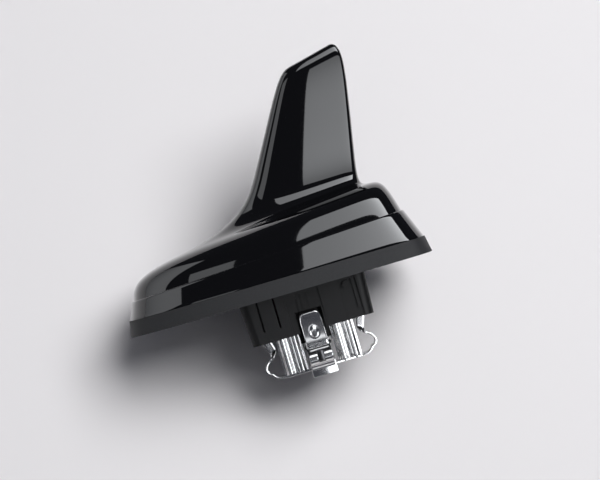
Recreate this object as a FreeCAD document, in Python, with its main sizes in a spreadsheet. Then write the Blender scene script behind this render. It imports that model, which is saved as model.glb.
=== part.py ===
"""Shark fin roof antenna: painted fin cover and skirt, rubber roof gasket, die-cast base plate with the
antenna boards, and a snap-in roof spigot with a sheet-steel spring clip under it.

Millimetres. The origin is the middle of the roof spigot on the roof surface, +Z points up out of the roof,
+X points to the rear of the car, and the part is symmetrical about the XZ plane apart from its sockets.
"""

import FreeCAD
import Part

import math
import os
import re

Vector = FreeCAD.Vector

# Driving dimensions, kept in the document's sheet
SIZES = {
    # plan outline, measured on the roof surface
    "nose_reach": 55.4,
    "tail_reach": 41.9,
    "half_width": 28.5,
    # roof gasket
    "gasket_height": 5.0,
    "gasket_draft": 0.95,
    "gasket_floor": 2.0,
    "gasket_rim": 3.0,
    "gasket_lip": 1.6,
    "gasket_groove": 0.8,
    # painted skirt
    "skirt_setback": 0.15,
    "skirt_flare_nose": 2.2,
    "skirt_flare_tail": 3.8,
    "skirt_flare_side": 3.6,
    "skirt_wall": 2.4,
    "skirt_flange": 4.0,
    "skirt_flange_thickness": 1.6,
    "seam_nose_height": 10.4,
    "seam_tail_height": 14.8,
    "seam_step": 0.6,
    # painted fin cover
    "cover_wall": 2.2,
    "shoulder_nose_height": 17.0,
    "shoulder_tail_height": 23.0,
    "deck_nose_height": 19.8,
    "deck_tail_height": 25.6,
    "deck_half_width": 15.6,
    "foot_half_width": 9.6,
    "fin_root_height": 28.6,
    "fin_root_front": 9.5,
    "fin_root_rear": 26.4,
    "fin_root_half": 5.9,
    "fin_top_height": 66.4,
    "fin_top_front": 12.2,
    "fin_top_rear": 33.4,
    "fin_top_half": 3.4,
    "fin_crest_rise": 4.6,
    "lip_height": 1.4,
    "lip_wall": 1.4,
    "lip_gap": 0.4,
    # base plate and its seal
    "plate_gap": 0.15,
    "seal_inset": 1.3,
    "seal_width": 1.6,
    "seal_depth": 0.8,
    # screws and bosses
    "boss_radius": 3.0,
    "boss_nose_x": 39.0,
    "boss_nose_y": 6.0,
    "boss_tail_x": 26.5,
    "boss_tail_y": 15.0,
    "cover_screw_radius": 1.5,
    "cover_screw_length": 9.0,
    "screw_head_radius": 2.7,
    "screw_head_height": 1.6,
    "small_screw_radius": 1.0,
    "small_screw_length": 5.0,
    "small_head_radius": 1.9,
    "small_head_height": 1.2,
    "screw_gap": 0.2,
    # circuit board and antenna elements
    "post_height": 4.0,
    "post_radius": 2.5,
    "board_thickness": 1.6,
    "board_front": 31.0,
    "board_rear": 23.0,
    "board_half": 14.5,
    "board_hole_inset": 3.0,
    "patch_side": 18.0,
    "patch_thickness": 4.0,
    "patch_x": 20.5,
    "pin_radius": 0.5,
    "pin_gap": 0.1,
    "can_length": 13.0,
    "can_width": 14.0,
    "can_height": 2.5,
    "can_wall": 0.3,
    "can_x": 20.5,
    "blade_thickness": 0.8,
    "blade_gap": 1.5,
    "blade_front": 2.0,
    "tab_length": 4.0,
    "foam_length": 9.0,
    "foam_height": 4.0,
    # roof spigot
    "spigot_half_length": 20.1,
    "spigot_half_width": 13.5,
    "spigot_depth": 13.3,
    "spigot_wall": 2.2,
    "spigot_roof": 2.4,
    "spigot_taper": 0.8,
    "spigot_gap": 0.4,
    "spigot_corner": 2.6,
    "spigot_screw_inset": 2.2,
    "slit_width": 0.6,
    "slit_front_x": 14.6,
    "slit_rear_x": 9.4,
    "slit_depth": 9.8,
    "leg_bay_front": 6.2,
    "leg_bay_rear": 2.6,
    "leg_bay_depth": 1.1,
    "rear_bay_front": 11.0,
    "rear_bay_rear": 16.6,
    "rear_bay_depth": 1.5,
    "core_half_length": 8.4,
    "core_half_width": 3.2,
    "core_depth": 16.8,
    # sheet-steel spring clip
    "clip_gauge": 0.6,
    "clip_depth": 24.8,
    "leg_reach_x": 18.4,
    "leg_reach_y": 14.9,
    "leg_top": 7.3,
    "leg_width": 7.2,
    "leg_slot": 2.2,
    "leg_edge": 2.4,
    "foot_plate_width": 8.0,
    "foot_plate_height": 4.0,
    "wall_inner_x": 4.9,
    "wall_outer_x": 12.4,
    "wall_y": 3.7,
    "wall_top": 11.0,
    "wall_flute": 0.9,
    # clip bolt and its insert
    "bolt_radius": 2.0,
    "bolt_head_flats": 7.0,
    "bolt_head_height": 2.0,
    "insert_wall": 1.0,
    "insert_length": 9.0,
    # coaxial sockets
    "socket_x": 9.2,
    "socket_y": 7.2,
    "socket_side": 6.4,
    "socket_wall": 0.9,
    "socket_depth": 10.5,
    "shell_radius": 1.9,
    "shell_wall": 0.3,
    "contact_radius": 0.45,
}

doc = FreeCAD.newDocument("shark_fin_antenna")
sheet = doc.addObject("Spreadsheet::Sheet", "Sizes")
for row, (alias, number) in enumerate(SIZES.items(), start=1):
    sheet.set(f"A{row}", alias)
    sheet.set(f"B{row}", str(number))
    sheet.setAlias(f"B{row}", alias)
doc.recompute()


def size(alias):
    """The number in the sheet's cell of that name."""
    return float(sheet.get(alias))


def bound(text):
    """An expression on the sheet's names, as the document's expression engine reads it."""
    return re.sub(r"\b([a-z][a-z_]+)\b", r"Sizes.\1", text)


def place(obj, x="0", y="0", z="0"):
    for axis, text in zip("xyz", (x, y, z)):
        obj.setExpression(f"Placement.Base.{axis}", bound(text))
    return obj


def box(name, x, y, z):
    """A box between three (low, high) pairs of expressions."""
    obj = doc.addObject("Part::Box", name)
    for prop, (low, high) in zip(("Length", "Width", "Height"), (x, y, z)):
        obj.setExpression(prop, bound(f"({high}) - ({low})"))
    return place(obj, x[0], y[0], z[0])


def cylinder(name, radius, low, high, x="0", y="0"):
    """An upright cylinder between two heights."""
    obj = doc.addObject("Part::Cylinder", name)
    obj.setExpression("Radius", bound(radius))
    obj.setExpression("Height", bound(f"({high}) - ({low})"))
    return place(obj, x, y, low)


def hexagon(name, flats, low, high):
    """An upright hexagonal prism, given across its flats."""
    outline = doc.addObject("Part::RegularPolygon", name + "_outline")
    outline.Polygon = 6
    outline.setExpression("Circumradius", bound(f"({flats}) / 3^0.5"))
    place(outline, z=low)
    obj = doc.addObject("Part::Extrusion", name)
    obj.Base = outline
    obj.Dir = Vector(0, 0, 1)
    obj.setExpression("LengthFwd", bound(f"({high}) - ({low})"))
    obj.Solid = True
    return obj


def fuse(name, parts):
    obj = doc.addObject("Part::MultiFuse", name)
    obj.Shapes = parts
    return obj


def cut(name, base, tools):
    obj = doc.addObject("Part::Cut", name)
    obj.Base = base
    obj.Tool = tools[0] if len(tools) == 1 else fuse(name + "_tools", tools)
    return obj


def common(name, base, tool):
    obj = doc.addObject("Part::Common", name)
    obj.Base = base
    obj.Tool = tool
    return obj


def group(name, solids):
    obj = doc.addObject("Part::Compound", name)
    obj.Links = solids
    return obj


def shaped(name, shape):
    """A feature whose form is set from Part's own curves and surfaces."""
    obj = doc.addObject("Part::Feature", name)
    obj.Shape = shape
    return obj


# Plan outlines: shares of the length from nose to tail, and of the half width, for one side's poles
ALONG = (0.0, 0.0, 0.085, 0.32, 0.62, 0.90, 0.99, 1.0, 1.0)
BASE_SPREAD = (0.0, 0.42, 0.74, 0.93, 1.02, 1.0, 0.93, 0.55, 0.0)
FIN_SPREAD = (0.0, 0.62, 0.95, 1.05, 1.0, 0.86, 0.76, 0.45, 0.0)
DEGREE = 3
MIRROR = Vector(0, 1, 0)


def outline_poles(front, rear, half, fin_share=0.0):
    """Poles of one side's outline from (x, z) at the nose to (x, z) at the tail."""
    poles = []
    for along, base, fin in zip(ALONG, BASE_SPREAD, FIN_SPREAD):
        spread = base + (fin - base) * fin_share
        x = front[0] + (rear[0] - front[0]) * along
        z = front[1] + (rear[1] - front[1]) * along
        poles.append(Vector(x, -half * spread, z))
    return poles


def clamped_knots(count, degree):
    """Knots and multiplicities of an even spline that starts and ends on its end poles."""
    spans = count - degree
    knots = [i / spans for i in range(spans + 1)]
    mults = [degree + 1] + [1] * (spans - 1) + [degree + 1]
    return knots, mults


def mirrored(poles):
    return [Vector(p.x, -p.y, p.z) for p in poles]


def outline_wire(poles):
    """The closed outline of both sides."""
    knots, mults = clamped_knots(len(poles), DEGREE)
    edges = []
    for side in (poles, mirrored(poles)):
        curve = Part.BSplineCurve()
        curve.buildFromPolesMultsKnots(side, mults, knots, False, DEGREE)
        edges.append(curve.toShape())
    return Part.Wire(Part.__sortEdges__(edges))


def frustum(low_poles, high_poles):
    """The straight-sided solid between two outlines."""
    return Part.makeLoft([outline_wire(low_poles), outline_wire(high_poles)], True, True)


def skin_solid(rings):
    """The smooth solid over rings of poles: the lowest is flat, and the highest lies on the mid plane."""
    u_knots, u_mults = clamped_knots(len(rings), DEGREE)
    v_knots, v_mults = clamped_knots(len(rings[0]), DEGREE)
    faces = []
    for net in (rings, [mirrored(ring) for ring in rings]):
        surface = Part.BSplineSurface()
        surface.buildFromPolesMultsKnots(
            net, u_mults, v_mults, u_knots, v_knots, False, False, DEGREE, DEGREE
        )
        faces.append(surface.toShape())
    faces.append(Part.Face(outline_wire(rings[0])))
    shell = Part.Shell(faces)
    shell.sewShape()
    solid = Part.Solid(shell)
    if solid.Volume < 0:
        solid.reverse()
    return solid


def base_poles(inset, z):
    """The roof outline, drawn in by an inset, at a height."""
    return outline_poles(
        (-size("nose_reach") + inset, z), (size("tail_reach") - inset, z), size("half_width") - inset
    )


def seam_height(x):
    """Height of the slanting seam between skirt and cover."""
    slope = (size("seam_tail_height") - size("seam_nose_height")) / (size("nose_reach") + size("tail_reach"))
    return size("seam_nose_height") + slope * (x + size("nose_reach"))


def seam_poles(inset, drop=0.0):
    """The outline of the skirt's top edge on the seam, drawn in by an inset and lowered by a drop."""
    start = size("gasket_draft") + size("skirt_setback")
    x_nose = -size("nose_reach") + start + size("skirt_flare_nose") + inset
    x_tail = size("tail_reach") - start - size("skirt_flare_tail") - inset
    half = size("half_width") - start - size("skirt_flare_side") - inset
    return outline_poles((x_nose, seam_height(x_nose) - drop), (x_tail, seam_height(x_tail) - drop), half)


# Fin cover: how far each ring of the dome draws in from the seam's outline, at the nose, tail and sides
FLANK_SETBACK = (0.5, 0.9, 1.1)
FLANK_RISE = (2.8, 3.5)
SHOULDER_SETBACK = (2.9, 2.3, 2.8)
DECK_SETBACK = (13.1, 4.6)
FOOT_SETBACK = 27.6
FOOT_RISE = 2.1
FOOT_TAIL_RISE = -0.4
FOOT_TAIL_LEAD = 0.5
FIN_LEVELS = (0.0, 0.3, 0.67, 1.0)
CREST_FRONTS = (2.8, 3.8)
CREST_REARS = (2.4, 4.4)
CREST_SPREADS = (0.47, 0.0)
CREST_NOSE_RISES = (0.8, 0.9)
CREST_TAIL_RISES = (1.0, 0.87)
TOP_TAIL_SHARE = 0.45


def cover_rings(inset, drop=0.0):
    """Rings of poles over the cover, from the seam to the crest of the fin, drawn in by a wall's inset."""
    rim = seam_poles(size("seam_step") + inset)
    nose, tail = rim[0], rim[-1]
    half = size("half_width") - size("gasket_draft") - size("skirt_setback") - size("skirt_flare_side")
    half -= size("seam_step") + inset
    nose_top = seam_height(nose.x)
    tail_top = seam_height(tail.x)
    rings = [rim]
    if drop:
        rings = [seam_poles(size("seam_step") + inset, drop * share) for share in LOWERING] + rings
    rings.append(outline_poles(
        (nose.x + FLANK_SETBACK[0], nose_top + FLANK_RISE[0]),
        (tail.x - FLANK_SETBACK[1], tail_top + FLANK_RISE[1]),
        half - FLANK_SETBACK[2],
    ))
    rings.append(outline_poles(
        (nose.x + SHOULDER_SETBACK[0], size("shoulder_nose_height") - inset),
        (tail.x - SHOULDER_SETBACK[1], size("shoulder_tail_height") - inset),
        half - SHOULDER_SETBACK[2],
    ))
    rings.append(outline_poles(
        (nose.x + DECK_SETBACK[0], size("deck_nose_height") - inset),
        (tail.x - DECK_SETBACK[1], size("deck_tail_height") - inset),
        size("deck_half_width") - inset,
        0.2,
    ))
    rings.append(outline_poles(
        (nose.x + FOOT_SETBACK, size("deck_nose_height") + FOOT_RISE - inset),
        (size("fin_root_rear") + FOOT_TAIL_LEAD - inset, size("deck_tail_height") + FOOT_TAIL_RISE - inset),
        size("foot_half_width") - inset,
        0.6,
    ))
    root = size("fin_root_height")
    top = size("fin_top_height")
    crest = size("fin_crest_rise")
    for level in FIN_LEVELS:
        z = root + (top - root) * level - inset * level
        rings.append(outline_poles(
            (-size("fin_root_front") + (size("fin_top_front") + size("fin_root_front")) * level + inset, z),
            (
                size("fin_root_rear") + (size("fin_top_rear") - size("fin_root_rear")) * level - inset,
                z + crest * TOP_TAIL_SHARE * (level == 1.0),
            ),
            size("fin_root_half") + (size("fin_top_half") - size("fin_root_half")) * level - inset,
            1.0,
        ))
    for i, spread in enumerate(CREST_SPREADS):
        rings.append(outline_poles(
            (size("fin_top_front") + CREST_FRONTS[i] + inset, top + CREST_NOSE_RISES[i] - inset),
            (size("fin_top_rear") - CREST_REARS[i] - inset, top + crest * CREST_TAIL_RISES[i] - inset),
            (size("fin_top_half") - inset) * spread,
            1.0,
        ))
    return rings


BELOW_SEAM = 9.0
LOWERING = (1.0, 0.25)
NOSE_SIDES = (("nose_left", "-boss_nose_x", "-boss_nose_y"), ("nose_right", "-boss_nose_x", "boss_nose_y"))
TAIL_SIDES = (("tail_left", "boss_tail_x", "-boss_tail_y"), ("tail_right", "boss_tail_x", "boss_tail_y"))
BOSSES = NOSE_SIDES + TAIL_SIDES
BOARD_CORNERS = [
    (name, f"{x} - {sx} * board_hole_inset", f"{sy} * (board_half - board_hole_inset)")
    for name, x, sx, sy in (
        ("front_left", "-board_front", "-1", "-1"),
        ("front_right", "-board_front", "-1", "1"),
        ("rear_left", "board_rear", "1", "-1"),
        ("rear_right", "board_rear", "1", "1"),
    )
]
PLATE_TOP = "gasket_height"
BOARD_LOW = "gasket_height + post_height"
BOARD_TOP = "gasket_height + post_height + board_thickness"


def make_cover():
    """Painted shell of the fin and dome, with four screw bosses moulded inside."""
    wall = size("cover_wall")
    outer = shaped("cover_outer", skin_solid(cover_rings(0.0)))
    inner = shaped("cover_inner", skin_solid(cover_rings(wall, BELOW_SEAM)))
    shell = cut("cover_shell", outer, [inner])
    room = shaped("cover_room", skin_solid(cover_rings(wall / 2, BELOW_SEAM)))
    bosses = fuse("cover_boss_rods", [
        cylinder(f"boss_{name}", "boss_radius", PLATE_TOP, "fin_root_height", x, y) for name, x, y in BOSSES
    ])
    fitted = common("cover_bosses", bosses, room)
    pilots = [
        cylinder(
            f"pilot_{name}", "cover_screw_radius",
            f"{PLATE_TOP} - 1", "gasket_floor + screw_head_height + cover_screw_length + 0.5", x, y,
        )
        for name, x, y in BOSSES
    ]
    return cut("fin_cover", fuse("cover_with_bosses", [shell, fitted]), pilots)


def make_skirt():
    """Painted ring under the cover, with a foot flange on the base plate and a lip inside the cover."""
    low = size("gasket_draft") + size("skirt_setback")
    wall = size("skirt_wall")
    height = size("gasket_height")
    flange_top = height + size("skirt_flange_thickness")
    lip_out = size("seam_step") + size("cover_wall") + size("lip_gap")
    lip_in = lip_out + size("lip_wall")
    outer = frustum(base_poles(low, height), seam_poles(0.0))
    ring = shaped("skirt_ring", outer.cut(frustum(base_poles(low + wall, height), seam_poles(lip_in))))
    reach = low + wall + size("skirt_flange")
    flange_outer = frustum(base_poles(low + wall / 2, height), base_poles(low + wall, flange_top))
    flange_inner = frustum(base_poles(reach, height - 1), base_poles(reach, flange_top + 1))
    flange = shaped("skirt_flange_ring", flange_outer.cut(flange_inner))
    rise = -size("lip_height")
    lean = 2 * size("lip_gap")
    lip_body = frustum(seam_poles(lip_out, lean), seam_poles(lip_out + lean, rise))
    lip_bore = frustum(seam_poles(lip_in, 2 * lean), seam_poles(lip_in, rise - 1))
    lip = shaped("skirt_lip", lip_body.cut(lip_bore))
    return fuse("skirt_frame", [ring, flange, lip])


def make_gasket():
    """Rubber tray under the skirt, with a hole for the spigot and a groove between two sealing lips."""
    height = size("gasket_height")
    rim = size("gasket_rim")
    body = shaped("gasket_body", frustum(base_poles(0.0, 0.0), base_poles(size("gasket_draft"), height)))
    floor = size("gasket_floor")
    pocket = shaped("gasket_pocket", frustum(base_poles(rim, floor), base_poles(rim, height + 1)))
    opening = box(
        "gasket_opening",
        ("-(spigot_half_length + spigot_gap)", "spigot_half_length + spigot_gap"),
        ("-(spigot_half_width + spigot_gap)", "spigot_half_width + spigot_gap"),
        ("-1", "gasket_height"),
    )
    lip = size("gasket_lip")
    groove = size("gasket_groove")
    ring = frustum(base_poles(lip, -1.0), base_poles(lip, groove))
    reach = lip + 2 * lip
    middle = frustum(base_poles(reach, -2.0), base_poles(reach, groove + 1))
    return cut("roof_gasket", body, [pocket, opening, shaped("gasket_groove_ring", ring.cut(middle))])


def make_plate():
    """Die-cast base plate: board posts on top, screw seats below and a window for the sockets."""
    low = size("gasket_floor")
    top = size("gasket_height")
    inset = size("gasket_rim") + size("plate_gap")
    slab = shaped("plate_slab", frustum(base_poles(inset, low), base_poles(inset, top)))
    posts = [
        cylinder(f"post_{name}", "post_radius", f"{PLATE_TOP} - 0.5", BOARD_LOW, x, y)
        for name, x, y in BOARD_CORNERS
    ]
    holes = [
        cylinder(f"plate_hole_{name}", "cover_screw_radius + screw_gap", "0", f"{PLATE_TOP} + 1", x, y)
        for name, x, y in BOSSES
    ]
    holes += [
        cylinder(
            f"plate_seat_{name}", "screw_head_radius + screw_gap",
            "gasket_floor - 1", "gasket_floor + screw_head_height", x, y,
        )
        for name, x, y in BOSSES
    ]
    holes += [
        cylinder(f"post_hole_{name}", "small_screw_radius", f"{BOARD_TOP} - small_screw_length - 0.5",
                 f"{BOARD_LOW} + 1", x, y)
        for name, x, y in BOARD_CORNERS
    ]
    holes += [
        cylinder(f"plate_spigot_hole_{name}", "small_screw_radius + screw_gap", "0", f"{PLATE_TOP} + 1", x, y)
        for name, x, y in SPIGOT_SCREWS
    ]
    window = box(
        "plate_window",
        ("-(socket_x + socket_side / 2 + spigot_gap)", "socket_x + socket_side / 2 + spigot_gap"),
        ("socket_y - socket_side / 2 - spigot_gap", "socket_y + socket_side / 2 + spigot_gap"),
        ("0", f"{PLATE_TOP} + 1"),
    )
    seal_in = size("gasket_rim") + size("seal_inset")
    seal_out = seal_in + size("seal_width")
    floor = top - size("seal_depth")
    ring = frustum(base_poles(seal_in, floor), base_poles(seal_in, top + 1))
    middle = frustum(base_poles(seal_out, floor - 1), base_poles(seal_out, top + 2))
    groove = shaped("plate_groove", ring.cut(middle))
    return cut("base_plate", fuse("plate_with_posts", [slab, *posts]), [*holes, window, groove])


def make_seal():
    """Rubber cord in the plate's groove, pressed by the skirt's foot."""
    seal_in = size("gasket_rim") + size("seal_inset")
    seal_out = seal_in + size("seal_width")
    top = size("gasket_height")
    floor = top - size("seal_depth")
    ring = frustum(base_poles(seal_in, floor), base_poles(seal_in, top))
    middle = frustum(base_poles(seal_out, floor - 1), base_poles(seal_out, top + 1))
    return shaped("cover_seal", ring.cut(middle))


def make_board():
    """Circuit board on the four posts, with slots for the blade's tabs and holes for screws and pins."""
    slab = box(
        "board_slab", ("-board_front", "board_rear"), ("-board_half", "board_half"), (BOARD_LOW, BOARD_TOP)
    )
    through = (f"{BOARD_LOW} - 1", f"{BOARD_TOP} + 1")
    holes = [
        cylinder(f"board_hole_{name}", "small_screw_radius + screw_gap", *through, x, y)
        for name, x, y in BOARD_CORNERS
    ]
    holes.append(cylinder("board_pin_hole", "pin_radius + pin_gap", *through, "-patch_x"))
    holes += [
        box(
            f"board_slot_{i}",
            (f"{x} - pin_gap", f"{x} + tab_length + pin_gap"),
            ("-(blade_thickness / 2 + pin_gap)", "blade_thickness / 2 + pin_gap"),
            through,
        )
        for i, x in enumerate(TAB_STARTS)
    ]
    holes += [
        cylinder(
            f"board_contact_hole_{i}", "contact_radius + pin_gap", *through, f"{sx} * socket_x", "socket_y"
        )
        for i, sx in enumerate(("-1", "1"))
    ]
    return cut("main_board", slab, holes)


TAB_STARTS = ("blade_front + 2", "fin_root_rear - blade_gap - cover_wall - tab_length - 6")


def make_patch():
    """Ceramic satellite antenna on the board, with its feed pin."""
    block = box(
        "patch_block",
        ("-(patch_x + patch_side / 2)", "-(patch_x - patch_side / 2)"),
        ("-patch_side / 2", "patch_side / 2"),
        (BOARD_TOP, f"{BOARD_TOP} + patch_thickness"),
    )
    top = f"{BOARD_TOP} + patch_thickness"
    bore = cylinder("patch_bore", "pin_radius + pin_gap", BOARD_TOP, f"{top} + 1", "-patch_x")
    cut("patch_antenna", block, [bore])
    stem = cylinder("pin_stem", "pin_radius", f"{BOARD_LOW} - 0.8", f"{top} + 0.1", "-patch_x")
    head = cylinder("pin_head", "2 * pin_radius", top, f"{top} + 0.4", "-patch_x")
    fuse("patch_pin", [stem, head])


def make_can():
    """Folded tin screen under the board, open towards it."""
    low = f"{BOARD_LOW} - can_height"
    outer = box(
        "can_outer",
        ("-(can_x + can_length / 2)", "-(can_x - can_length / 2)"),
        ("-can_width / 2", "can_width / 2"),
        (low, BOARD_LOW),
    )
    inner = box(
        "can_inner",
        ("-(can_x + can_length / 2 - can_wall)", "-(can_x - can_length / 2 + can_wall)"),
        ("-(can_width / 2 - can_wall)", "can_width / 2 - can_wall"),
        (f"{low} + can_wall", f"{BOARD_LOW} + 1"),
    )
    return cut("shield_can", outer, [inner])


def blade_line(level, gap):
    """Front and rear x, and z, of the fin's hollow at a level from its root to its top."""
    wall = size("cover_wall")
    z = size("fin_root_height") + (size("fin_top_height") - size("fin_root_height")) * level
    front = -size("fin_root_front") + (size("fin_top_front") + size("fin_root_front")) * level + wall + gap
    rear = size("fin_root_rear") + (size("fin_top_rear") - size("fin_root_rear")) * level - wall - gap
    return front, rear, z


BLADE_TOP_LEVEL = 0.84


def make_blade():
    """Upright radiator board in the fin's hollow, its two tabs through the main board."""
    gap = size("blade_gap")
    foot = size("gasket_height") + size("post_height") + size("board_thickness")
    _, rear_low, root = blade_line(0.0, gap)
    front_top, rear_top, top = blade_line(BLADE_TOP_LEVEL, gap)
    front_root = max(size("blade_front"), blade_line(0.0, gap)[0])
    points = [
        (size("blade_front"), foot),
        (rear_low, foot),
        (rear_low, root),
        (rear_top, top),
        (front_top + gap, top),
        (front_root, root),
    ]
    half = size("blade_thickness") / 2
    wire = Part.makePolygon([Vector(x, -half, z) for x, z in points + points[:1]])
    panel = shaped("blade_panel", Part.Face(wire).extrude(Vector(0, 2 * half, 0)))
    tabs = [
        box(
            f"blade_tab_{i}",
            (x, f"{x} + tab_length"),
            ("-blade_thickness / 2", "blade_thickness / 2"),
            (f"{BOARD_LOW} - 0.6", f"{BOARD_TOP} + 0.1"),
        )
        for i, x in enumerate(TAB_STARTS)
    ]
    fuse("fin_radiator", [panel, *tabs])
    middle = (front_top + gap + rear_top) / 2
    half_length = size("foam_length") / 2
    pad = Part.makeBox(
        2 * half_length, 2 * size("blade_thickness"), size("foam_height"),
        Vector(middle - half_length, -size("blade_thickness"), top),
    )
    shaped("foam_pad", pad)


def screw(name, radius, head_radius, seat, shank, head, x, y, driver):
    """A pan-head screw: the shank runs from the seat to one height, the head to another."""
    shank_low, shank_high = (seat, shank) if driver == "below" else (shank, seat)
    head_low, head_high = (head, seat) if driver == "below" else (seat, head)
    stem = cylinder(f"{name}_stem", radius, shank_low, shank_high, x, y)
    cap = cylinder(f"{name}_cap", head_radius, head_low, head_high, x, y)
    recess = f"({head_high}) - ({head_low})"
    low, high = (head_low, f"{head_low} + ({recess}) / 2")
    if driver == "above":
        low, high = (f"{head_high} - ({recess}) / 2", head_high)
    socket = hexagon(f"{name}_recess", f"{head_radius} * 0.9", low, high)
    place(socket.Base, x, y, low)
    return cut(name, fuse(f"{name}_body", [stem, cap]), [socket])


SPIGOT_CORNERS = (
    ("front_left", "-1", "-1"), ("front_right", "-1", "1"), ("rear_left", "1", "-1"), ("rear_right", "1", "1")
)
SPIGOT_SCREWS = [
    (
        name,
        f"{sx} * (spigot_half_length - spigot_wall - spigot_screw_inset)",
        f"{sy} * (spigot_half_width - spigot_wall - spigot_screw_inset)",
    )
    for name, sx, sy in SPIGOT_CORNERS
]


def corner_span(sign, half):
    """Low and high expressions of a screw column in a corner of the spigot, lapping into its wall."""
    near = f"{sign} * ({half} - spigot_wall - 2.1 * spigot_screw_inset)"
    far = f"{sign} * ({half} - 0.9 * spigot_wall)"
    return (near, far) if sign == "1" else (far, near)


def make_screws():
    seat = "gasket_floor + screw_head_height"
    group("cover_screws", [
        screw(f"cover_screw_{name}", "cover_screw_radius", "screw_head_radius", seat,
              f"{seat} + cover_screw_length", "gasket_floor", x, y, "below")
        for name, x, y in BOSSES
    ])
    group("board_screws", [
        screw(f"board_screw_{name}", "small_screw_radius", "small_head_radius", BOARD_TOP,
              f"{BOARD_TOP} - small_screw_length", f"{BOARD_TOP} + small_head_height", x, y, "above")
        for name, x, y in BOARD_CORNERS
    ])
    group("spigot_screws", [
        screw(f"spigot_screw_{name}", "small_screw_radius", "small_head_radius", PLATE_TOP,
              f"{PLATE_TOP} - 2 * small_screw_length", f"{PLATE_TOP} + small_head_height", x, y, "above")
        for name, x, y in SPIGOT_SCREWS
    ])


def spigot_block(inset, low, high):
    """The spigot's tapered block between two heights, drawn in by an inset."""
    depth = size("spigot_depth") + size("gasket_floor")
    lean = size("spigot_taper") / depth
    wires = []
    for z in (low, high):
        narrowing = lean * (size("gasket_floor") - z) + inset
        x = size("spigot_half_length") - narrowing
        y = size("spigot_half_width") - narrowing
        r = max(size("spigot_corner") - inset, 0.4)
        wires.append(rounded_rectangle(x, y, r, z))
    return Part.makeLoft(wires, True, True)


def rounded_rectangle(x, y, r, z):
    edges = []
    corners = ((1, 1, 0), (-1, 1, 90), (-1, -1, 180), (1, -1, 270))
    for sx, sy, start in corners:
        centre = Vector(sx * (x - r), sy * (y - r), z)
        a0, a1 = math.radians(start), math.radians(start + 90)
        am = (a0 + a1) / 2
        points = [centre + Vector(r * math.cos(a), r * math.sin(a), 0) for a in (a0, am, a1)]
        if edges:
            edges.append(Part.LineSegment(edges[-1].Vertexes[-1].Point, points[0]).toShape())
        edges.append(Part.Arc(*points).toShape())
    edges.append(Part.LineSegment(edges[-1].Vertexes[-1].Point, edges[0].Vertexes[0].Point).toShape())
    return Part.Wire(edges)


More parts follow.
